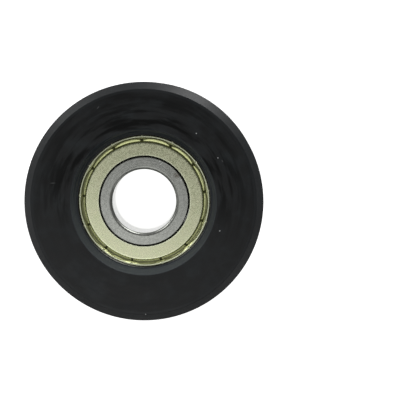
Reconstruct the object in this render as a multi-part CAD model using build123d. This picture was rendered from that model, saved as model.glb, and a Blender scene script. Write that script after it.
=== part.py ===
from build123d import *
from math import cos, radians
import os

# An escalator step roller: a black roller moulded in one piece round a shielded ball bearing.
# The bearing's inner ring is fixed on the step's axle, and all the rest turns about +Z.
# The roller lies on its side face.  The origin is the centre of the bearing's bore.
# Sizes are in millimetres and angles in degrees.

# Roller body
ROLLER_DIAMETER = 75.0
ROLLER_WIDTH = 24.0
TREAD_CHAMFER = 2.2
TREAD_EDGE_ROUND = 0.3
FACE_SKIM_WIDTH = 0.9
FACE_SKIM_DEPTH = 0.08
LIP_REVEAL = 0.05
LIP_RISE = 0.35
LIP_LAND = 0.3
LIP_ROUND = 0.1
MOUTH_FLARE = 1.4
MOUTH_ROUND = 0.3

# Bearing rings and balls
BEARING_BORE = 20.0
BEARING_DIAMETER = 47.0
BEARING_WIDTH = 14.0
RING_CORNER = 1.0
BALL_DIAMETER = 7.938
BALL_COUNT = 8
RACE_PLAY = 0.03
INNER_RACE_RATIO = 0.515
OUTER_RACE_RATIO = 0.525
INNER_SHOULDER_HEIGHT = 1.3
OUTER_SHOULDER_HEIGHT = 1.45
SHOULDER_ROUND = 0.25

# Shields, pressed from sheet and crimped into the outer ring
SHEET = 0.35
SHIELD_GAP = 0.35
SHIELD_DROP = 0.15
SHIELD_SEAT_DEPTH = 1.3
RECESS_STEP = 1.55
RECESS_EDGE = 0.15
GROOVE_DEPTH = 0.15
GROOVE_WIDTH = 0.7
CHANNEL_INSET = 0.85
CHANNEL_STEP = 0.3
CHANNEL_FLOOR = 1.2
RIM_INSET = 0.5
RIM_CURL = 0.3
RIM_PLAY = 0.03
SHEET_BEND = 0.25

# Crimps round each shield, with an arched lobe of the channel's floor between each two
CRIMP_COUNT = 13
FRONT_CRIMP_ANGLE = 9.0
REAR_CRIMP_ANGLE = 20.0
CRIMP_REACH = 0.87
CRIMP_DROP = 0.1
LOBE_INSET = 0.25
SLIT_INSET = 0.05
SLIT_LENGTH = 0.65
SLIT_WIDTH = 0.35
SLIT_FLARE = 1.1
NICK_LENGTH = 0.6
NICK_WIDTH = 0.35
NICK_DEPTH = 0.2

# Riveted ribbon cage
CAGE_SHEET = 0.8
CAGE_WIDTH = 3.3
POCKET_PLAY = 0.1
RIVET_DIAMETER = 1.3
RIVET_HEAD_DIAMETER = 2.2
RIVET_HEAD_HEIGHT = 0.5

# Planes and circles that the pieces share
SIDE = ROLLER_WIDTH / 2
TREAD = ROLLER_DIAMETER / 2
FACE = BEARING_WIDTH / 2
SEAT = BEARING_DIAMETER / 2
BORE = BEARING_BORE / 2
BALL = BALL_DIAMETER / 2
PITCH = (BORE + SEAT) / 2
INNER_RACE = PITCH - BALL - RACE_PLAY
OUTER_RACE = PITCH + BALL + RACE_PLAY
INNER_SHOULDER = INNER_RACE + INNER_SHOULDER_HEIGHT
OUTER_SHOULDER = OUTER_RACE - OUTER_SHOULDER_HEIGHT
RECESS = OUTER_SHOULDER + RECESS_STEP
RECESS_MOUTH = RECESS + RECESS_EDGE
OUTER_CORNER = min(RING_CORNER, (SEAT - RECESS_MOUTH) / 2)
SHIELD_SEAT = FACE - SHIELD_SEAT_DEPTH
SHIELD_TOP = FACE - SHIELD_DROP
FLOOR_TOP = SHIELD_SEAT + SHEET
CHANNEL = OUTER_SHOULDER - CHANNEL_INSET
FLOOR_START = CHANNEL + CHANNEL_STEP
FLOOR_END = FLOOR_START + CHANNEL_FLOOR
CREST = RECESS - RIM_INSET
LIP = RECESS_MOUTH + LIP_REVEAL
MOUTH = LIP + LIP_LAND + MOUTH_FLARE
POCKET = BALL + POCKET_PLAY
LOW_END = (Align.CENTER, Align.CENTER, Align.MIN)


def turned(corners):
    """Turn a closed half section about the spin axis; each corner is radius, height, round."""
    points = [(radius, height) for radius, height, _ in corners]
    rounds = [size for _, _, size in corners]
    section = make_face(FilletPolyline(points, radius=rounds, close=True))
    return revolve(Plane.XZ * section, Axis.Z)


def both_sides(corners):
    """Continue the front half of a symmetric half section with its rear half."""
    return corners + [(radius, -height, size) for radius, height, size in reversed(corners)]


def roller_body():
    """Tread and web in one moulding, with lips that grip the bearing's outer ring."""
    return turned(both_sides([
        (SEAT, FACE, OUTER_CORNER),
        (LIP, FACE, 0),
        (LIP, FACE + LIP_RISE, LIP_ROUND),
        (LIP + LIP_LAND, FACE + LIP_RISE, 0),
        (MOUTH, SIDE, MOUTH_ROUND),
        (TREAD - TREAD_CHAMFER - FACE_SKIM_WIDTH, SIDE, 0),
        (TREAD - TREAD_CHAMFER, SIDE - FACE_SKIM_DEPTH, TREAD_EDGE_ROUND),
        (TREAD, SIDE - TREAD_CHAMFER, TREAD_EDGE_ROUND),
    ]))


def raceway(race, ratio, side):
    """Torus that cuts a ball track; side is +1 where the track faces outward."""
    groove = BALL_DIAMETER * ratio
    return Torus(race + side * groove, groove)


def outer_ring():
    """Outer ring: corners, shield recess with its seat and groove, and the ball track."""
    blank = turned(both_sides([
        (SEAT, FACE, OUTER_CORNER),
        (RECESS_MOUTH, FACE, 0),
        (RECESS, FACE - RECESS_EDGE, 0),
        (RECESS, SHIELD_SEAT + GROOVE_WIDTH, 0),
        (RECESS + GROOVE_DEPTH, SHIELD_SEAT + GROOVE_WIDTH - GROOVE_DEPTH, 0),
        (RECESS + GROOVE_DEPTH, SHIELD_SEAT, 0),
        (OUTER_SHOULDER, SHIELD_SEAT, 0),
    ]))
    return blank - raceway(OUTER_RACE, OUTER_RACE_RATIO, -1)


def inner_ring():
    """Inner ring: rounded bore corners for the axle, eased shoulders and the ball track."""
    blank = turned(both_sides([
        (INNER_SHOULDER, FACE, SHOULDER_ROUND),
        (BORE, FACE, RING_CORNER),
    ]))
    return blank - raceway(INNER_RACE, INNER_RACE_RATIO, 1)


def crimp_ramps(lobe_places):
    """Ramps from the channel's floor up to the rim, left standing between the arched lobes."""
    foot = FLOOR_END - CRIMP_REACH
    ramp = turned([
        (foot, FLOOR_TOP, 0),
        (CREST, SHIELD_TOP - CRIMP_DROP, 0),
        (CREST, SHIELD_TOP - SHEET / 2, 0),
        (FLOOR_END, FLOOR_TOP - SHEET / 2, 0),
        (foot, FLOOR_TOP - SHEET / 2, 0),
    ])
    lobe_end = CREST - LOBE_INSET
    half_pitch = radians(180 / CRIMP_COUNT)
    centre = (lobe_end**2 - foot**2) / (2 * (lobe_end - foot * cos(half_pitch)))
    lobe = Cylinder(lobe_end - centre, SHEET + SHIELD_SEAT_DEPTH, align=LOW_END)
    return ramp - [place * Pos(centre, 0, FLOOR_TOP) * lobe for place in lobe_places]


def crimp_slit():
    """Slit through the channel's floor at a crimp, flared outward by the crimping punch."""
    start = FLOOR_START + SLIT_INSET
    end = start + SLIT_LENGTH
    plan = make_face(Polyline((start, -SLIT_WIDTH / 2), (end, -SLIT_FLARE / 2),
                              (end, SLIT_FLARE / 2), (start, SLIT_WIDTH / 2), close=True))
    return Pos(Z=SHIELD_SEAT - SHEET) * extrude(plan, 2 * SHIELD_SEAT_DEPTH)


def rim_nick():
    """Nick across the rolled rim, in line with its slit."""
    return Pos(CREST, 0, SHIELD_TOP) * Box(NICK_LENGTH, NICK_WIDTH, 2 * NICK_DEPTH)


def front_shield(crimp_angle):
    """Flat washer, channel down to the ring's seat, and a rim rolled into the groove."""
    flat = SHIELD_TOP - SHEET / 2
    floor = FLOOR_TOP - SHEET / 2
    middle = FilletPolyline(
        (INNER_SHOULDER + SHIELD_GAP + SHEET / 2, flat),
        (CHANNEL, flat),
        (FLOOR_START, floor),
        (FLOOR_END, floor),
        (CREST, flat),
        (RECESS - RIM_PLAY - SHEET / 2, flat - RIM_CURL),
        radius=SHEET_BEND,
    )
    section = make_face(offset(middle, amount=SHEET / 2, side=Side.BOTH))
    sheet = revolve(Plane.XZ * section, Axis.Z)
    crimps = PolarLocations(0, CRIMP_COUNT, start_angle=crimp_angle)
    lobes = PolarLocations(0, CRIMP_COUNT, start_angle=crimp_angle + 180 / CRIMP_COUNT)
    pressing = sheet + crimp_ramps(lobes)
    return pressing - [crimp * cut for crimp in crimps for cut in (crimp_slit(), rim_nick())]


def ball_places():
    """Centres of the balls, evenly spaced on the pitch circle."""
    return PolarLocations(PITCH, BALL_COUNT)


def rivet_places():
    """Middles of the cage's flat lands, halfway between the balls."""
    return PolarLocations(PITCH, BALL_COUNT, start_angle=180 / BALL_COUNT)


def cage_band(height):
    """Ring of the cage's own width, standing on the bearing's middle plane."""
    outside = Cylinder(PITCH + CAGE_WIDTH / 2, height, align=LOW_END)
    return outside - Cylinder(PITCH - CAGE_WIDTH / 2, height, align=LOW_END)


def front_cage_half():
    """Pressed ribbon: flat riveted lands, and a domed pocket over each ball."""
    domes = [place * Sphere(POCKET + CAGE_SHEET) for place in ball_places()]
    hollows = [place * Sphere(POCKET) for place in ball_places()]
    holes = [place * Cylinder(RIVET_DIAMETER / 2, 4 * CAGE_SHEET) for place in rivet_places()]
    pressing = (cage_band(CAGE_SHEET) + domes) & cage_band(POCKET + CAGE_SHEET)
    return pressing - hollows - holes


def rivet():
    """Round-headed rivet that clamps both cage halves on their middle plane."""
    head = RIVET_HEAD_DIAMETER / 2
    crown = (head**2 + RIVET_HEAD_HEIGHT**2) / (2 * RIVET_HEAD_HEIGHT)
    stem = Polyline((0, CAGE_SHEET + RIVET_HEAD_HEIGHT), (0, 0), (RIVET_DIAMETER / 2, 0),
                    (RIVET_DIAMETER / 2, CAGE_SHEET), (head, CAGE_SHEET))
    dome = RadiusArc((head, CAGE_SHEET), (0, CAGE_SHEET + RIVET_HEAD_HEIGHT), -crown)
    half = revolve(Plane.XZ * make_face([stem, dome]), Axis.Z)
    return half + mirror(half, Plane.XY)


def pieces():
    """Every separate piece of the roller by its node name."""
    made = {
        "roller_body": roller_body(),
        "bearing_outer_ring": outer_ring(),
        "bearing_inner_ring": inner_ring(),
        "front_shield": front_shield(FRONT_CRIMP_ANGLE),
        "rear_shield": Rot(X=180) * front_shield(REAR_CRIMP_ANGLE),
        "cage_front_half": front_cage_half(),
        "cage_rear_half": mirror(front_cage_half(), Plane.XY),
        "cage_rivets": Compound([place * rivet() for place in rivet_places()]),
    }
    for number, place in enumerate(ball_places(), start=1):
        made[f"ball_{number}"] = place * Sphere(BALL)
    return made


os.makedirs("parts", exist_ok=True)
for name, solid in pieces().items():
    export_step(solid, f"parts/{name}.step")
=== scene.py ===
from math import cos, pi, radians, sin, tau

import bpy
from mathutils import Matrix, Vector


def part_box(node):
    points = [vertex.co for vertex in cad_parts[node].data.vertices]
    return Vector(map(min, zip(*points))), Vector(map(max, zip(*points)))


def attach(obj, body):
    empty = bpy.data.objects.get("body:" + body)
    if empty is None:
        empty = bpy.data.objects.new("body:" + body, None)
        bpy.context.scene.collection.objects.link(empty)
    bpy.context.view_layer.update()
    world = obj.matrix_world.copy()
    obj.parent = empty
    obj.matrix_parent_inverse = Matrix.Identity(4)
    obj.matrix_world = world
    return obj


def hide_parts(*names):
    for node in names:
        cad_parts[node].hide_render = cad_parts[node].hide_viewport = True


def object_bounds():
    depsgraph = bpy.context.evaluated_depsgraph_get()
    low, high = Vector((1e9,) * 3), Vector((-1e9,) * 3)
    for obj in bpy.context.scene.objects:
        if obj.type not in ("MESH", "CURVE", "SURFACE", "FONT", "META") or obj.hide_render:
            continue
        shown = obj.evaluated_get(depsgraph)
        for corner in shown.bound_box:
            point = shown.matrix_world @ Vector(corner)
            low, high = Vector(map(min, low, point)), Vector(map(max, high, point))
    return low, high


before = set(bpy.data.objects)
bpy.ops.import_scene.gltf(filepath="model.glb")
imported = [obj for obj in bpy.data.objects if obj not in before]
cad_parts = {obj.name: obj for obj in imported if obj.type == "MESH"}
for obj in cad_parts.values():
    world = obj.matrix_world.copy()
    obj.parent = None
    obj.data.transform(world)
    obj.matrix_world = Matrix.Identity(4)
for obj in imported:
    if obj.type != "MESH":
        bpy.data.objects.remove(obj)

# An escalator step roller, lying on its side face: a black polymer wheel moulded round a
# shielded ball bearing.  +Z is the spin axis.  Lengths are in metres, and in millimetres
# inside a material.
MM = 0.001
packed_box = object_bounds()


# Bearing inner ring.  A ring of hardened bearing steel, turned, then ground on its faces and
# its bore.  It slides on the step's axle, and the balls run in the track round its outside.
# Handling has left a brown bloom on one side of its face, with short scratches across it.
def linear(hex_colour):
    """Turn an sRGB hex colour such as "#8a8d88" into the linear colour that a shader takes."""
    parts = [int(hex_colour[i:i + 2], 16) / 255 for i in (1, 3, 5)]
    return [p / 12.92 if p <= 0.04045 else ((p + 0.055) / 1.055) ** 2.4 for p in parts] + [1.0]


def add(tree, kind, inputs=None, **settings):
    """Add a node; inputs maps its sockets to values, or to the sockets that feed them."""
    node = tree.nodes.new(kind)
    for name, value in settings.items():
        setattr(node, name, value)
    for socket, value in (inputs or {}).items():
        if isinstance(value, bpy.types.NodeSocket):
            tree.links.new(value, node.inputs[socket])
        else:
            node.inputs[socket].default_value = value
    return node


def new_material(name):
    """An empty material and its node tree."""
    material = bpy.data.materials.new(name)
    material.use_nodes = True
    material.node_tree.nodes.clear()
    return material, material.node_tree


def calculate(tree, operation, *values):
    """The result of one sum on numbers or sockets."""
    return add(tree, "ShaderNodeMath", dict(enumerate(values)), operation=operation).outputs[0]


def vector(tree, operation, *values):
    """The result of one sum on vectors or sockets."""
    node = add(tree, "ShaderNodeVectorMath", dict(enumerate(values)), operation=operation)
    return node.outputs["Value" if operation in ("LENGTH", "DOT_PRODUCT", "DISTANCE") else "Vector"]


def scaled(tree, way, factor):
    """A vector made so many times as long."""
    return add(tree, "ShaderNodeVectorMath", {0: way, "Scale": factor}, operation="SCALE").outputs[0]


def object_place(tree):
    """The point's place on the object, in millimetres."""
    return scaled(tree, add(tree, "ShaderNodeTexCoord").outputs["Object"], 1 / MM)


def axis_distance(tree):
    """How far the point lies from the spin axis, in millimetres."""
    return vector(tree, "LENGTH", vector(tree, "MULTIPLY", object_place(tree), (1, 1, 0)))


def turning_marks(tree, per_turn, per_mm, detail):
    """Streaks that run round the spin axis: so many to a turn, and so many to each mm across."""
    place = object_place(tree)
    way = vector(tree, "NORMALIZE", vector(tree, "MULTIPLY", place, (1, 1, 0)))
    height = add(tree, "ShaderNodeSeparateXYZ", {0: place}).outputs["Z"]
    rings = calculate(tree, "MULTIPLY", calculate(tree, "ADD", axis_distance(tree), height), per_mm)
    lift = add(tree, "ShaderNodeCombineXYZ", {"Z": rings}).outputs[0]
    where = vector(tree, "ADD", scaled(tree, way, per_turn / tau), lift)
    return add(tree, "ShaderNodeTexNoise", {"Vector": where, "Scale": 1.0, "Detail": detail}).outputs[0]


def speckle(tree, size_mm, detail):
    """Even mottling whose patches are about so many millimetres across."""
    where = object_place(tree)
    return add(tree, "ShaderNodeTexNoise", {"Vector": where, "Scale": 1 / size_mm,
                                            "Detail": detail}).outputs[0]


def stretch(tree, value, low, high, to_low=0.0, to_high=1.0):
    """Ease a value from one range to another, level past both ends."""
    return add(tree, "ShaderNodeMapRange", {"Value": value, "From Min": low, "From Max": high,
                                            "To Min": to_low, "To Max": to_high},
               interpolation_type="SMOOTHSTEP").outputs[0]


def strokes(tree, marks, width):
    """Short marks of one width; each is a middle place, a length and a compass angle in degrees."""
    shade = 0.0
    for middle, length, angle in marks:
        way = Vector((cos(radians(angle)), sin(radians(angle)), 0))
        offset = vector(tree, "SUBTRACT", object_place(tree), middle)
        along = calculate(tree, "MULTIPLY", vector(tree, "DOT_PRODUCT", offset, way), 1 - width / length)
        gap = vector(tree, "LENGTH", vector(tree, "SUBTRACT", offset, scaled(tree, way, along)))
        shade = calculate(tree, "MAXIMUM", shade, stretch(tree, gap, 0.15 * width, width, 1.0, 0.0))
    return shade


def tint(tree, factor, first, second):
    """Go from the first colour to the second; either may be hex or another node's colour."""
    pair = [linear(colour) if isinstance(colour, str) else colour for colour in (first, second)]
    return add(tree, "ShaderNodeMix", {0: factor, 6: pair[0], 7: pair[1]}, data_type="RGBA").outputs[2]


def relief(tree, height, depth_mm):
    """Raise the surface by a pattern, so many millimetres from its lowest to its highest."""
    return add(tree, "ShaderNodeBump", {"Height": height, "Distance": depth_mm * MM}).outputs[0]


def finish_material(tree, **sockets):
    """Close a material with its shader; a socket is named with _ for a space."""
    inputs = {name.replace("_", " "): value for name, value in sockets.items()}
    shader = add(tree, "ShaderNodeBsdfPrincipled", inputs)
    add(tree, "ShaderNodeOutputMaterial", {"Surface": shader.outputs["BSDF"]})


def dress(node_name, material):
    """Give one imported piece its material."""
    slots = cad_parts[node_name].data.materials
    slots.clear()
    slots.append(material)


# Ground chrome steel: a dull satin grey.  The wheel leaves arcs about 0.1 mm apart, drawn
# here at 0.3 mm so that they show, and the bloom turns one patch a warm brown.  The bore is
# finer, and painted paler as a painted reflection; its rounded corner is duller and painted
# darker as painted shade, and painted shade darkens the ring's outer edge and track.
BLOOM_PLACE = (10.3, 8.3, 7.0)
BLOOM_REACH = 1.5
SCRATCHES = (
    ((5.4, 11.8, 7.0), 1.1, 36),
    ((4.9, 12.5, 7.0), 0.6, 30),
    ((11.6, 6.6, 7.0), 0.5, 60),
)
SCRATCH_WIDTH = 0.22
BORE_RADIUS = 10.05
CORNER_RADIUS = 11.05
GAP_SHADE_RADIUS = 13.6
ground_steel, tree = new_material("ground_bearing_steel")
marks = turning_marks(tree, per_turn=9, per_mm=3.3, detail=3)
cloud = speckle(tree, size_mm=0.6, detail=2)
to_bloom = vector(tree, "DISTANCE", object_place(tree), BLOOM_PLACE)
near_bloom = stretch(tree, to_bloom, 0.2 * BLOOM_REACH, BLOOM_REACH, 1.0, 0.0)
bloom = calculate(tree, "MULTIPLY", near_bloom, stretch(tree, cloud, 0.3, 0.55))
out = axis_distance(tree)
bore = stretch(tree, out, BORE_RADIUS, BORE_RADIUS + 0.05, 1.0, 0.0)
# Painted shade: past this radius the ring's outer edge and track, at the gap, are painted dark.
oil_mottle_and_gap_shade = stretch(tree, out, GAP_SHADE_RADIUS, GAP_SHADE_RADIUS + 0.3)
corner = calculate(tree, "SUBTRACT",
                   stretch(tree, out, CORNER_RADIUS - 0.1, CORNER_RADIUS + 0.1, 1.0, 0.0), bore)
metal = tint(tree, stretch(tree, cloud, 0.3, 0.7), "#a3a59f", "#b6b8b2")
# Painted shade: the rounded corner at the bore is painted darker, which tames its highlight.
metal = tint(tree, calculate(tree, "MULTIPLY", corner, 0.55), metal, "#7f817c")
# Painted reflection: the bore is painted paler, as if lit by the white card it mirrors.
metal = tint(tree, bore, tint(tree, bloom, metal, "#7b766c"), "#d5d6d4")
metal = tint(tree, strokes(tree, SCRATCHES, SCRATCH_WIDTH), metal, "#e6e7e4")
satin = calculate(tree, "MULTIPLY_ADD", corner, 0.12, stretch(tree, marks, 0.3, 0.7, 0.20, 0.30))
finish_material(tree, Metallic=1.0,
                Base_Color=tint(tree, oil_mottle_and_gap_shade, metal, "#3f403c"),
                Roughness=calculate(tree, "MULTIPLY_ADD", bore, -0.14, satin),
                Normal=relief(tree, marks, 0.003))
dress("bearing_inner_ring", ground_steel)


# Balls.  Eight chrome-steel balls, lapped and polished, that roll between the two rings and
# sit one to each pocket of the cage.
# Lapped steel: almost a mirror, with the faintest haze where the balls have run.
ball_steel, tree = new_material("lapped_ball_steel")
haze = speckle(tree, size_mm=1.5, detail=4)
finish_material(tree, Metallic=1.0,
                Base_Color=tint(tree, haze, "#c9cacb", "#d6d7d8"),
                Roughness=stretch(tree, haze, 0.3, 0.7, 0.06, 0.12),
                Normal=relief(tree, haze, 0.0005))
for node_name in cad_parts:
    if node_name.startswith("ball_"):
        dress(node_name, ball_steel)


# Cage.  Two halves pressed from soft steel strip, domed over the balls, and held together
# through their flat lands by eight round-headed rivets of drawn wire.
# Pressed strip: grey, with an oily mottle and the fine orange peel of a deep pressing.
cage_steel, tree = new_material("pressed_cage_steel")
peel = speckle(tree, size_mm=0.35, detail=3)
oil_mottle_and_gap_shade = speckle(tree, size_mm=2.5, detail=2)
finish_material(tree, Metallic=1.0,
                Base_Color=tint(tree, oil_mottle_and_gap_shade, "#85827a", "#97958d"),
                Roughness=stretch(tree, peel, 0.3, 0.7, 0.34, 0.48),
                Normal=relief(tree, peel, 0.006))
dress("cage_front_half", cage_steel)
dress("cage_rear_half", cage_steel)

# Drawn rivet wire: brighter than the strip, its heads scuffed by the setting tool.
rivet_steel, tree = new_material("headed_rivet_steel")
scuffs = speckle(tree, size_mm=0.25, detail=4)
finish_material(tree, Metallic=1.0,
                Base_Color=tint(tree, scuffs, "#9d9c98", "#b4b3af"),
                Roughness=stretch(tree, scuffs, 0.3, 0.7, 0.24, 0.4),
                Normal=relief(tree, scuffs, 0.004))
dress("cage_rivets", rivet_steel)


# Bearing outer ring.  Hardened steel like the inner ring, with the balls' track round its
# inside and a recess at each end that takes a shield.  The wheel is moulded over it.
# Turned and hardened steel: its recess keeps the lathe's rings, and the steel is painted dark, a painted
# shade for that deep recess.
ring_steel, tree = new_material("hardened_ring_steel")
rings = turning_marks(tree, per_turn=5, per_mm=5.0, detail=2)
finish_material(tree, Metallic=1.0,
                Base_Color=tint(tree, rings, "#474744", "#545451"),
                Roughness=stretch(tree, rings, 0.3, 0.7, 0.32, 0.44),
                Normal=relief(tree, rings, 0.004))
dress("bearing_outer_ring", ring_steel)


# Shields.  A washer pressed from thin steel closes each end of the bearing.  It steps down
# to a channel that seats in the outer ring, and its rim is rolled into the ring's recess.
# Thirteen crimps lock the rim; between them the channel's floor is left as arched lobes.
SHEET = 0.35 * MM
SHIELD_EDGE = 14.4 * MM
CHANNEL = 18.45 * MM
CHANNEL_STEP = 0.3 * MM
CHANNEL_FLOOR = 1.2 * MM
DISH = 0.24 * MM
CREST = 20.35 * MM
RIM_CURL = 0.3 * MM
SHEET_BEND = 0.25 * MM
SHEARED_EDGE = 0.06 * MM
CRIMP_COUNT = 13
CRIMP_REACH = 0.87 * MM
CRIMP_DROP = 0.1 * MM
CRIMP_STEPS = 64
FLOOR_ROWS = 9
WALL_ROWS = 3
ROW_STEP = 0.1 * MM
LOBE_INSET = 0.25 * MM
SLIT_START = 18.8 * MM
SLIT_END = 19.45 * MM
SLIT_WIDTH = 0.35 * MM
SLIT_FLARE = 1.1 * MM
SLIT_TAIL = 0.3 * MM
EASE = 0.1 * MM
NICK_LENGTH = 0.6 * MM
NICK_WIDTH = 0.35 * MM
NICK_DEPTH = 0.2 * MM
FRONT_CRIMP_ANGLE = radians(9)
REAR_CRIMP_ANGLE = radians(20)
SHARP_FOLD = radians(50)


def band(tree, value, start, full, fading, end):
    """Rise from 0 to 1 between the first two places, and fall back between the last two."""
    return calculate(tree, "MULTIPLY", stretch(tree, value, start, full),
                     stretch(tree, value, fading, end, 1.0, 0.0))


def start_rule(name, numbers, corners):
    """An empty Geometry Nodes tree with a named input for each size; returns both."""
    tree = bpy.data.node_groups.new(name, "GeometryNodeTree")
    for size in numbers:
        tree.interface.new_socket(size, in_out="INPUT", socket_type="NodeSocketFloat")
    for corner in corners:
        tree.interface.new_socket(corner, in_out="INPUT", socket_type="NodeSocketVector")
    tree.interface.new_socket("Piece", in_out="OUTPUT", socket_type="NodeSocketGeometry")
    return tree, add(tree, "NodeGroupInput").outputs


def turn_section(tree, corners, sides, arc_points):
    """Turn a closed half section about the spin axis; a corner is radius, height and rounding."""
    index = add(tree, "GeometryNodeInputIndex").outputs[0]
    corner = add(tree, "GeometryNodeIndexSwitch", {"Index": index}, data_type="VECTOR")
    for _ in corners[2:]:
        corner.index_switch_items.new()
    for number, place in enumerate(corners, start=1):
        tree.links.new(place, corner.inputs[number])
    part = add(tree, "ShaderNodeSeparateXYZ", {0: corner.outputs[0]}).outputs
    path_radius = 10 * MM
    place = add(tree, "ShaderNodeCombineXYZ", {
        "X": calculate(tree, "SUBTRACT", part["X"], path_radius),
        "Y": calculate(tree, "MULTIPLY", part["Y"], -1.0)})
    line = add(tree, "GeometryNodeCurvePrimitiveLine")
    line = add(tree, "GeometryNodeResampleCurve", {"Curve": line.outputs[0], "Count": len(corners)})
    line = add(tree, "GeometryNodeSetPosition", {"Geometry": line.outputs[0],
                                                 "Position": place.outputs[0]})
    line = add(tree, "GeometryNodeSetSplineCyclic", {"Geometry": line.outputs[0], "Cyclic": True})
    line = add(tree, "GeometryNodeFilletCurve", {"Curve": line.outputs[0], "Count": arc_points,
                                                 "Radius": part["Z"]}, mode="POLY")
    path = add(tree, "GeometryNodeCurvePrimitiveCircle", {"Resolution": sides, "Radius": path_radius})
    path = add(tree, "GeometryNodeSetCurveNormal", {"Curve": path.outputs[0]}, mode="Z_UP")
    return add(tree, "GeometryNodeCurveToMesh", {"Curve": path.outputs[0],
                                                 "Profile Curve": line.outputs[0]}).outputs[0]


def end_rule(tree, mesh, sharp_edges, material):
    """Shade a mesh smooth but for its sharp edges, give it its material, and end the tree."""
    mesh = add(tree, "GeometryNodeSetShadeSmooth", {"Geometry": mesh}, domain="FACE")
    mesh = add(tree, "GeometryNodeSetShadeSmooth", {
        "Geometry": mesh.outputs[0], "Selection": sharp_edges, "Shade Smooth": False}, domain="EDGE")
    mesh = add(tree, "GeometryNodeRealizeInstances", {"Geometry": mesh.outputs[0]})
    mesh = add(tree, "GeometryNodeSetMaterial", {"Geometry": mesh.outputs[0], "Material": material})
    add(tree, "NodeGroupOutput", {"Piece": mesh.outputs[0]})


def grow(name, tree, sizes):
    """Run a tree with these sizes, and keep what it makes as a plain mesh object."""
    piece = bpy.data.objects.new(name, bpy.data.meshes.new(name + "_seed"))
    bpy.context.scene.collection.objects.link(piece)
    rule = piece.modifiers.new("rule", "NODES")
    rule.node_group = tree
    for item in tree.interface.items_tree:
        if item.in_out == "INPUT":
            rule[item.identifier] = sizes[item.name]
    grown = piece.evaluated_get(bpy.context.evaluated_depsgraph_get())
    mesh = bpy.data.meshes.new_from_object(grown)
    mesh.name = name
    piece.modifiers.clear()
    piece.data = mesh
    return piece


def beside(middle, gap):
    """The corners of a line that runs beside another, so far to its left, bends and all."""
    places = [Vector(corner[:2]) for corner in middle]
    runs = [(end - start).normalized() for start, end in zip(places, places[1:])]
    line = []
    for place, corner, before, after in zip(places, middle, runs[:1] + runs, runs + runs[-1:]):
        left = Vector((-before.y - after.y, before.x + after.x))
        moved = place + left * gap / (1 + before.dot(after))
        turns_left = before.cross(after) > 0
        bend = corner[2] - gap if turns_left else corner[2] + gap
        line.append((moved.x, moved.y, bend if corner[2] else 0.0))
    return line


# Zinc-plated sheet with a yellow passivate: a pale straw metal, finely crystalline, with
# faint green drifts in its film.  A deeper yellow is painted in the channel, a painted reflection
# of the sheet in itself; painted highlights lie pale on the rim and the inner edge; and painted
# shade darkens the channel's wall, the crease round each lobe and the slits.
EDGE_HIGHLIGHT_RADIUS = 14.7
RIM_HIGHLIGHT_BAND = (20.1, 20.25, 20.4, 20.6)
CHANNEL_REFLECTION_BAND = (18.5, 18.8, 20.0, 20.15)
zinc_yellow, tree = new_material("yellow_passivated_zinc")
crystals = speckle(tree, size_mm=0.5, detail=1)
drift = speckle(tree, size_mm=2.2, detail=3)
film = tint(tree, stretch(tree, drift, 0.3, 0.7), "#c5cba6", "#cfcfae")
sheet = tint(tree, stretch(tree, crystals, 0.3, 0.7), film, "#d6d9b8")
# Painted shade, read from the shield's attribute: it darkens and dulls the channel's wall, creases and
# slits.
painted_shade = add(tree, "ShaderNodeAttribute", attribute_name="painted_shade").outputs["Fac"]
satin = stretch(tree, crystals, 0.3, 0.7, 0.22, 0.32)
dulled = calculate(tree, "MULTIPLY_ADD", painted_shade, 0.35, satin)
out = axis_distance(tree)
# Painted highlights: the inner edge and the rim are painted pale, less metallic and rougher.
edge_highlight = stretch(tree, out, EDGE_HIGHLIGHT_RADIUS - 0.15, EDGE_HIGHLIGHT_RADIUS + 0.15, 0.9, 0.0)
rim_and_edge_highlight = calculate(tree, "ADD", band(tree, out, *RIM_HIGHLIGHT_BAND), edge_highlight)
# Painted reflection: the channel is painted a deeper yellow, for the sheet mirrored in itself.
deep = calculate(tree, "MULTIPLY", band(tree, out, *CHANNEL_REFLECTION_BAND), 0.8)
sheet = tint(tree, deep, sheet, "#cdd294")
sheet = tint(tree, rim_and_edge_highlight, sheet, "#f5fad8")
finish_material(tree, Metallic=calculate(tree, "MULTIPLY_ADD", rim_and_edge_highlight, -0.75, 1.0),
                Base_Color=tint(tree, painted_shade, sheet, "#3f3f24"),
                Roughness=calculate(tree, "MULTIPLY_ADD", rim_and_edge_highlight, 0.15, dulled),
                Normal=relief(tree, crystals, 0.0042))

shield_low, shield_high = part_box("front_shield")
FLAT_MIDDLE = shield_high.z - SHEET / 2
FLOOR_MIDDLE = shield_low.z + SHEET / 2
FLOOR_TOP = shield_low.z + SHEET
FLOOR_START = CHANNEL + CHANNEL_STEP
FLOOR_END = FLOOR_START + CHANNEL_FLOOR
RAMP_FOOT = FLOOR_END - CRIMP_REACH
LOBE_END = CREST - LOBE_INSET
HALF_PITCH = pi / CRIMP_COUNT
LOBE_CENTRE = (LOBE_END**2 - RAMP_FOOT**2) / (2 * (LOBE_END - RAMP_FOOT * cos(HALF_PITCH)))
FLOOR_LIFT = 1.25 * DISH
WALL_RISE = FLAT_MIDDLE - FLOOR_MIDDLE - FLOOR_LIFT

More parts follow.
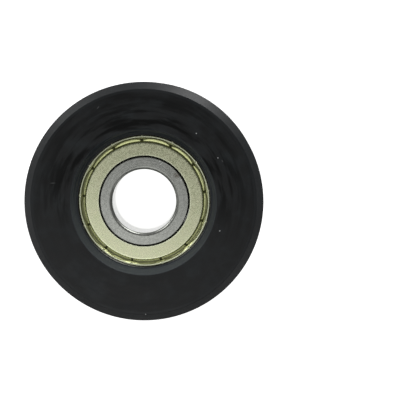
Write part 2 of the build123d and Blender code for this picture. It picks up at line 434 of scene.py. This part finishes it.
# The middle line of the sheet, from the inner edge to the rolled rim.  The pressed floor
# rises outward ever more steeply, and straight rows carry the mesh up the wall.
middle = {
    "inner edge": (SHIELD_EDGE, FLAT_MIDDLE, 0.0),
    "start of the flat": (SHIELD_EDGE + 2 * SHEARED_EDGE, FLAT_MIDDLE, 0.0),
    "end of the flat": (CHANNEL - 2 * SHEET_BEND, FLAT_MIDDLE, 0.0),
    "channel": (CHANNEL, FLAT_MIDDLE, SHEET_BEND),
    "start of the floor": (FLOOR_START, FLOOR_MIDDLE, SHEET_BEND),
}
for row in range(1, FLOOR_ROWS + 1):
    share = row / (FLOOR_ROWS + 1)
    middle[f"floor row {row}"] = (FLOOR_START + (row + 1) * ROW_STEP,
                                  FLOOR_MIDDLE + DISH * share**2, 0.0)
middle["end of the floor"] = (FLOOR_END, FLOOR_MIDDLE + FLOOR_LIFT, 0.0)
for row in range(1, WALL_ROWS + 1):
    share = 0.15 + 0.2 * row
    middle[f"wall row {row}"] = (FLOOR_END + share * (CREST - FLOOR_END),
                                 FLOOR_MIDDLE + FLOOR_LIFT + share * WALL_RISE, 0.0)
middle["crest"] = (CREST, FLAT_MIDDLE, SHEET_BEND)
middle["rim edge"] = (shield_high.x - SHEET / 2, FLAT_MIDDLE - RIM_CURL, 0.0)

# The section's corners: out along the top side, and back along the under side, which needs
# no rows.
line = list(middle.values())
top = dict(zip((f"Top {name}" for name in middle), beside(line, SHEET / 2)))
under = dict(zip((f"Under {name}" for name in middle), beside(line, -SHEET / 2)))
under = {name: under[name] for name in reversed(under) if "row" not in name}
for ends in (top, under):
    for name in ends:
        if name.endswith("edge"):
            ends[name] = (ends[name][0], ends[name][1], SHEARED_EDGE)
shield_corners = top | under

tree, given = start_rule("pressed_shield", ("Crimp angle", "Turn over"), shield_corners)
mesh = turn_section(tree, [given[name] for name in shield_corners],
                    sides=CRIMP_COUNT * CRIMP_STEPS, arc_points=5)
turn = add(tree, "ShaderNodeCombineXYZ", {"Z": given["Crimp angle"]}).outputs[0]
mesh = add(tree, "GeometryNodeTransform", {"Geometry": mesh, "Rotation": turn}).outputs[0]

# Where a point lies: its height, its radius, and its angle from the nearest crimp and lobe.
place = add(tree, "GeometryNodeInputPosition").outputs[0]
part = add(tree, "ShaderNodeSeparateXYZ", {0: place}).outputs
flat = add(tree, "ShaderNodeCombineXYZ", {"X": part["X"], "Y": part["Y"]}).outputs[0]
radius = vector(tree, "LENGTH", flat)
angle = calculate(tree, "SUBTRACT", calculate(tree, "ARCTAN2", part["Y"], part["X"]),
                  given["Crimp angle"])
from_crimp = calculate(tree, "WRAP", angle, HALF_PITCH, -HALF_PITCH)
from_lobe = calculate(tree, "WRAP", calculate(tree, "SUBTRACT", angle, HALF_PITCH),
                      HALF_PITCH, -HALF_PITCH)
facing = add(tree, "ShaderNodeSeparateXYZ", {0: add(tree, "GeometryNodeInputNormal").outputs[0]})
on_top = calculate(tree, "GREATER_THAN", facing.outputs["Z"], 0.05)

# The ramps: the face rises from the floor to the rim, outside the arc of each round lobe.
sideways = calculate(tree, "MULTIPLY", calculate(tree, "SINE", from_lobe), LOBE_CENTRE)
reach = calculate(tree, "SQRT", calculate(tree, "SUBTRACT", (LOBE_END - LOBE_CENTRE)**2,
                                          calculate(tree, "POWER", sideways, 2.0)))
lobe_edge = calculate(tree, "MULTIPLY_ADD", calculate(tree, "COSINE", from_lobe), LOBE_CENTRE, reach)
past_lobe = calculate(tree, "SUBTRACT", radius, lobe_edge)
outside = stretch(tree, past_lobe, 0.0, EASE)
slope = (shield_high.z - CRIMP_DROP - FLOOR_TOP) / (CREST - RAMP_FOOT)
ramp = calculate(tree, "MULTIPLY_ADD", calculate(tree, "SUBTRACT", radius, RAMP_FOOT), slope, FLOOR_TOP)
rise = calculate(tree, "MAXIMUM", calculate(tree, "SUBTRACT", ramp, part["Z"]), 0.0)
within_crest = calculate(tree, "LESS_THAN", radius, CREST)
rise = calculate(tree, "MULTIPLY", calculate(tree, "MULTIPLY", rise, outside), within_crest)

# The slits and nicks: each is sunk where a point is nearer its middle line than half its
# width.  A slit is half the sheet deep.
across = calculate(tree, "ABSOLUTE", calculate(tree, "MULTIPLY", from_crimp, radius))
half_width = add(tree, "ShaderNodeMapRange", {
    "Value": radius, "From Min": SLIT_START, "From Max": SLIT_END,
    "To Min": SLIT_WIDTH / 2, "To Max": SLIT_FLARE / 2})
inside = calculate(tree, "SUBTRACT", half_width.outputs[0], across)
slit = calculate(tree, "MULTIPLY", stretch(tree, inside, -EASE / 2, EASE),
                 band(tree, radius, SLIT_START - EASE, SLIT_START, SLIT_END, SLIT_END + SLIT_TAIL))
off_crest = calculate(tree, "ABSOLUTE", calculate(tree, "SUBTRACT", radius, CREST))
nick = calculate(tree, "MULTIPLY", stretch(tree, across, NICK_WIDTH / 2, NICK_WIDTH, 1.0, 0.0),
                 stretch(tree, off_crest, 0.4 * NICK_LENGTH, 0.6 * NICK_LENGTH, 1.0, 0.0))
sink = calculate(tree, "MULTIPLY_ADD", slit, 0.5 * SHEET, calculate(tree, "MULTIPLY", nick, NICK_DEPTH))
lift = calculate(tree, "MULTIPLY", calculate(tree, "SUBTRACT", rise, sink), on_top)

# Painted shade, kept as an attribute: it deepens over the channel's floor towards its wall,
# and in the crease round each lobe.  It nearly fills a slit, and darkens the rolled rim where it meets
# the ring.
in_channel = band(tree, radius, CHANNEL, FLOOR_START, CREST - 4 * EASE, CREST - EASE)
crease = stretch(tree, calculate(tree, "ABSOLUTE", past_lobe), EASE / 2, 4 * EASE, 0.4, 0.0)
toward_wall_shade = stretch(tree, radius, FLOOR_START, FLOOR_END, 0.04, 0.36)
painted_shade = calculate(tree, "MULTIPLY", calculate(tree, "ADD", crease, toward_wall_shade), in_channel)
painted_shade = calculate(tree, "MAXIMUM", painted_shade, calculate(tree, "MULTIPLY", slit, 0.9))
at_ring = stretch(tree, radius, CREST + 2.8 * EASE, CREST + 4.5 * EASE, 0.0, 0.6)
painted_shade = calculate(tree, "MAXIMUM", painted_shade, at_ring)
shade_stored = add(tree, "GeometryNodeStoreNamedAttribute", {
    "Geometry": mesh, "Name": "painted_shade", "Value": calculate(tree, "MULTIPLY", painted_shade, on_top)})
offset = add(tree, "ShaderNodeCombineXYZ", {"Z": lift}).outputs[0]
mesh = add(tree, "GeometryNodeSetPosition", {"Geometry": shade_stored.outputs[0], "Offset": offset}).outputs[0]
over = add(tree, "ShaderNodeCombineXYZ", {"X": given["Turn over"]}).outputs[0]
mesh = add(tree, "GeometryNodeTransform", {"Geometry": mesh, "Rotation": over}).outputs[0]
fold = add(tree, "GeometryNodeInputMeshEdgeAngle").outputs["Unsigned Angle"]
end_rule(tree, mesh, calculate(tree, "GREATER_THAN", fold, SHARP_FOLD), zinc_yellow)

for name, node_name, crimp_angle, turn_over in (
        ("pressed_front_shield", "front_shield", FRONT_CRIMP_ANGLE, 0.0),
        ("pressed_rear_shield", "rear_shield", REAR_CRIMP_ANGLE, pi)):
    sizes = shield_corners | {"Crimp angle": crimp_angle, "Turn over": turn_over}
    shield = grow(name, tree, sizes)
    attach(shield, "roller")
    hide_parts(node_name)


# Grease.  A bead of dark brown bearing grease, pressed up inside the rear shield against the
# inner ring; it shuts out the light that would shine up through the bearing.
GREASE_OUT = 14.36 * MM
GREASE_IN = 13.95 * MM
GREASE_TOP = -6.35 * MM
GREASE_DEPTH = 0.4 * MM
GREASE_ROUND = 0.15 * MM
GREASE_SIDES = 120

# Old grease: dark brown, wet and smooth, with faint lumps.
grease, tree = new_material("bearing_grease")
lumps = speckle(tree, size_mm=0.6, detail=2)
finish_material(tree, Base_Color=tint(tree, lumps, "#14110c", "#1d1912"),
                Roughness=stretch(tree, lumps, 0.3, 0.7, 0.25, 0.4),
                Normal=relief(tree, lumps, 0.03))
grease_corners = {
    "inner top": (GREASE_IN, GREASE_TOP, 0.0),
    "outer top": (GREASE_OUT, GREASE_TOP, GREASE_ROUND),
    "outer bottom": (GREASE_OUT, GREASE_TOP - GREASE_DEPTH, GREASE_ROUND),
    "inner bottom": (GREASE_IN, GREASE_TOP - GREASE_DEPTH, 0.0),
}
tree, given = start_rule("grease_bead", (), grease_corners)
mesh = turn_section(tree, [given[name] for name in grease_corners], GREASE_SIDES, arc_points=4)
fold = add(tree, "GeometryNodeInputMeshEdgeAngle").outputs["Unsigned Angle"]
end_rule(tree, mesh, calculate(tree, "GREATER_THAN", fold, SHARP_FOLD), grease)
bead = grow("grease_bead", tree, grease_corners)
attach(bead, "inner_ring")


# Roller body.  The wheel itself, moulded in one piece from black polymer round the bearing,
# then skimmed on a lathe: flat side faces, a chamfer to the tread, and a deep mouth at each
# end whose lip grips the outer ring.
LIP = 21.05 * MM
LIP_RISE = 0.35 * MM
LIP_LAND = 0.3 * MM
LIP_ROUND = 0.1 * MM
MOUTH = 22.75 * MM
EDGE_ROUND = 0.3 * MM
SEAT_ROUND = 1.0 * MM
CHAMFER = 2.2 * MM
SKIM_WIDTH = 0.9 * MM
SKIM_DEPTH = 0.08 * MM
WHEEL_SIDES = 360
BROAD_FACET = 0.06 * MM * MM
SHARP_TURN = radians(20)

# Black polymer: nearly black, with a soft satin gloss.  Dull dark patches gather round the
# upper part of its faces, and a thin grey-blue bloom drifts over it.  The mouth is painted a
# paler grey, a painted sheen, and the newly cut rim is greyer.  Six white crumbs of dust stick
# to it, and it has three faint scrapes.
CUT_RADIUS = 34.4
MOUTH_RADIUS = 22.8
CRUMB = 0.26
DUST = (
    ((16.5, 21.5, 12.0), CRUMB, 0),
    ((29.8, 19.9, 12.0), CRUMB, 0),
    ((23.2, 13.9, 12.0), CRUMB, 0),
    ((21.9, 5.3, 9.5), CRUMB, 0),
    ((23.8, -8.9, 12.0), 0.3, 40),
    ((0.6, -35.2, 12.0), CRUMB, 0),
)
SCRAPES = (
    ((-28.2, 6.0, 12.0), 1.2, 3),
    ((-14.0, 29.5, 12.0), 0.8, 50),
    ((24.6, 12.9, 12.0), 0.7, 120),
)
SCRAPE_WIDTH = 0.2
black_polymer, tree = new_material("black_moulded_polymer")
out = axis_distance(tree)
streaks = turning_marks(tree, per_turn=22, per_mm=0.8, detail=3)
smudge = turning_marks(tree, per_turn=13, per_mm=0.5, detail=4)
bloom = speckle(tree, size_mm=5.0, detail=4)
grain = speckle(tree, size_mm=0.3, detail=2)
upward = add(tree, "ShaderNodeSeparateXYZ", {0: object_place(tree)}).outputs["Y"]
# Darker, duller streaky patches, more of them towards the top of the faces and towards the mouth.
upper_weight = calculate(tree, "MULTIPLY", stretch(tree, upward, -14, 8), stretch(tree, out, 25, 35, 1.0, 0.3))
top_darkening = calculate(tree, "MULTIPLY", stretch(tree, smudge, 0.42, 0.62), upper_weight)
skin = tint(tree, stretch(tree, streaks, 0.3, 0.7), "#0c0d0e", "#151718")
skin = tint(tree, stretch(tree, bloom, 0.4, 0.75), skin, "#1a1e20")
skin = tint(tree, top_darkening, skin, "#060707")
cut = stretch(tree, out, CUT_RADIUS, CUT_RADIUS + 0.15)
skin = tint(tree, calculate(tree, "MULTIPLY", cut, 0.7), skin, "#1c1f21")
# Painted sheen: the mouth is painted a paler grey, and made duller and less glossy.
mouth = stretch(tree, out, MOUTH_RADIUS, MOUTH_RADIUS + 0.2, 1.0, 0.0)
skin = tint(tree, mouth, skin, "#3a3e41")
dust = strokes(tree, DUST, CRUMB)
scrape = calculate(tree, "MULTIPLY", strokes(tree, SCRAPES, SCRAPE_WIDTH), 0.1)
dust = calculate(tree, "MAXIMUM", calculate(tree, "MULTIPLY", dust, 0.85), scrape)
gloss = calculate(tree, "MULTIPLY_ADD", mouth, 0.12, stretch(tree, streaks, 0.3, 0.7, 0.38, 0.50))
shine = calculate(tree, "MULTIPLY_ADD", top_darkening, -0.17, 0.31)
finish_material(tree, Base_Color=tint(tree, dust, skin, "#c9cccb"), IOR=1.5,
                Specular_IOR_Level=calculate(tree, "MULTIPLY_ADD", mouth, -0.18, shine),
                Roughness=calculate(tree, "MULTIPLY_ADD", dust, 0.3, gloss),
                Normal=relief(tree, calculate(tree, "ADD", streaks, grain), 0.006))

_, wheel_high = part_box("roller_body")
_, ring_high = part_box("bearing_outer_ring")
TREAD, SIDE = wheel_high.x, wheel_high.z
SEAT, FACE = ring_high.x, ring_high.z
front = {
    "seat": (SEAT, FACE, SEAT_ROUND),
    "foot of the lip": (LIP, FACE, 0.0),
    "lip": (LIP, FACE + LIP_RISE, LIP_ROUND),
    "foot of the mouth": (LIP + LIP_LAND, FACE + LIP_RISE, 0.0),
    "mouth": (MOUTH, SIDE, EDGE_ROUND),
    "skim": (TREAD - CHAMFER - SKIM_WIDTH, SIDE, 0.0),
    "top of the chamfer": (TREAD - CHAMFER, SIDE - SKIM_DEPTH, EDGE_ROUND),
    "edge of the tread": (TREAD, SIDE - CHAMFER, EDGE_ROUND),
}
wheel_corners = {f"Front {name}": corner for name, corner in front.items()}
for name, (out, up, rounding) in reversed(front.items()):
    wheel_corners[f"Rear {name}"] = (out, -up, rounding)

tree, given = start_rule("turned_wheel", ("Broad facet",), wheel_corners)
mesh = turn_section(tree, [given[name] for name in wheel_corners], WHEEL_SIDES, arc_points=6)

# An edge is kept sharp where two faces meet at an angle, and where a broad flat meets the
# small facets of a rounding, so that the flat is shaded flat.
facet = add(tree, "GeometryNodeInputMeshFaceArea").outputs[0]
broad = add(tree, "GeometryNodeFieldOnDomain", {
    0: calculate(tree, "GREATER_THAN", facet, given["Broad facet"])}, domain="FACE").outputs[0]
mixed = calculate(tree, "COMPARE", broad, 0.5, 0.1)
fold = add(tree, "GeometryNodeInputMeshEdgeAngle").outputs["Unsigned Angle"]
sharp = calculate(tree, "MAXIMUM", mixed, calculate(tree, "GREATER_THAN", fold, SHARP_TURN))
end_rule(tree, mesh, sharp, black_polymer)

wheel = grow("moulded_wheel", tree, wheel_corners | {"Broad facet": BROAD_FACET})
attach(wheel, "roller")
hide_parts("roller_body")


# Floor.  A sheet of white card that the roller lies on.  The camera, and what mirrors it, see
# it lit to white; the roller's shadow stays on it.  Past the roller it mirrors more weakly.
FLOOR_HALF = 3.0
FLOOR_HEIGHT = packed_box[0].z
card, tree = new_material("white_card")
rays = add(tree, "ShaderNodeLightPath").outputs
seen = calculate(tree, "MULTIPLY", rays["Is Camera Ray"], 0.9)
mirrored = stretch(tree, axis_distance(tree), 12, 20, 0.75, 0.2)
seen = calculate(tree, "MULTIPLY_ADD", rays["Is Glossy Ray"], mirrored, seen)
fibre = speckle(tree, size_mm=0.6, detail=2)
finish_material(tree, Base_Color=tint(tree, fibre, "#f0f0f0", "#f6f6f6"), Roughness=0.9,
                Normal=relief(tree, fibre, 0.01),
                Emission_Color=linear("#ffffff"),
                Emission_Strength=seen)
mesh = bpy.data.meshes.new("card")
corners = [(-1, -1), (1, -1), (1, 1), (-1, 1)]
mesh.from_pydata([(x * FLOOR_HALF, y * FLOOR_HALF, FLOOR_HEIGHT) for x, y in corners], [], [(0, 1, 2, 3)])
mesh.materials.append(card)
floor = bpy.data.objects.new("card", mesh)
bpy.context.scene.collection.objects.link(floor)


# Lights.  Two large soft boxes light the far side of the roller, two weak ones stand low at
# its right and its left, and one hangs overhead, a little towards the near side.
def soft_box(name, azimuth, elevation, distance, size, watts):
    """A square soft box that faces the roller from a compass angle and a height, in degrees."""
    lamp = bpy.data.lights.new(name, "AREA")
    lamp.size = size
    lamp.energy = watts
    light = bpy.data.objects.new(name, lamp)
    flat = distance * cos(radians(elevation))
    light.location = (flat * cos(radians(azimuth)), flat * sin(radians(azimuth)),
                      distance * sin(radians(elevation)))
    light.rotation_euler = Vector(light.location).to_track_quat("Z", "Y").to_euler()
    bpy.context.scene.collection.objects.link(light)


soft_box("key_right", azimuth=66, elevation=18, distance=0.9, size=0.45, watts=6.0)
soft_box("key_left", azimuth=138, elevation=20, distance=0.9, size=0.4, watts=3.2)
soft_box("fill_low_right", azimuth=320, elevation=18, distance=0.9, size=0.3, watts=0.55)
soft_box("fill_low_left", azimuth=190, elevation=16, distance=0.9, size=0.3, watts=0.6)
soft_box("overhead", azimuth=250, elevation=65, distance=1.2, size=0.8, watts=2.75)

# Room.  It is dim on the roller, but white to the camera past the card's edge.
ROOM_LEVEL = 0.14
world = bpy.data.worlds.new("studio")
world.use_nodes = True
tree = world.node_tree
tree.nodes.clear()
seen = add(tree, "ShaderNodeLightPath").outputs["Is Camera Ray"]
room = add(tree, "ShaderNodeBackground", {"Color": linear("#ffffff"),
                                          "Strength": calculate(tree, "MAXIMUM", seen, ROOM_LEVEL)})
add(tree, "ShaderNodeOutputWorld", {"Surface": room.outputs[0]})
bpy.context.scene.world = world
bpy.context.scene.view_settings.view_transform = "Standard"


# Camera.  It looks almost straight down, from a little towards +X and +Y.
FRAME_PIXELS = 400
FOCAL_PIXELS = 1449.0
SENSOR_WIDTH = 36.0
CAMERA_PLACE = (23.5 * MM, 34.8 * MM, 462 * MM)
CAMERA_AIM = Vector((17.61 * MM, 0.59 * MM, 9.7 * MM))
camera_data = bpy.data.cameras.new("camera")
camera_data.sensor_width = SENSOR_WIDTH
camera_data.lens = FOCAL_PIXELS / FRAME_PIXELS * SENSOR_WIDTH
camera = bpy.data.objects.new("camera", camera_data)
camera.location = CAMERA_PLACE
backward = (camera.location - CAMERA_AIM).normalized()
rightward = Vector((0, 1, 0)).cross(backward).normalized()
upward = backward.cross(rightward)
camera.rotation_euler = Matrix((rightward, upward, backward)).transposed().to_euler()
bpy.context.scene.collection.objects.link(camera)
bpy.context.scene.camera = camera
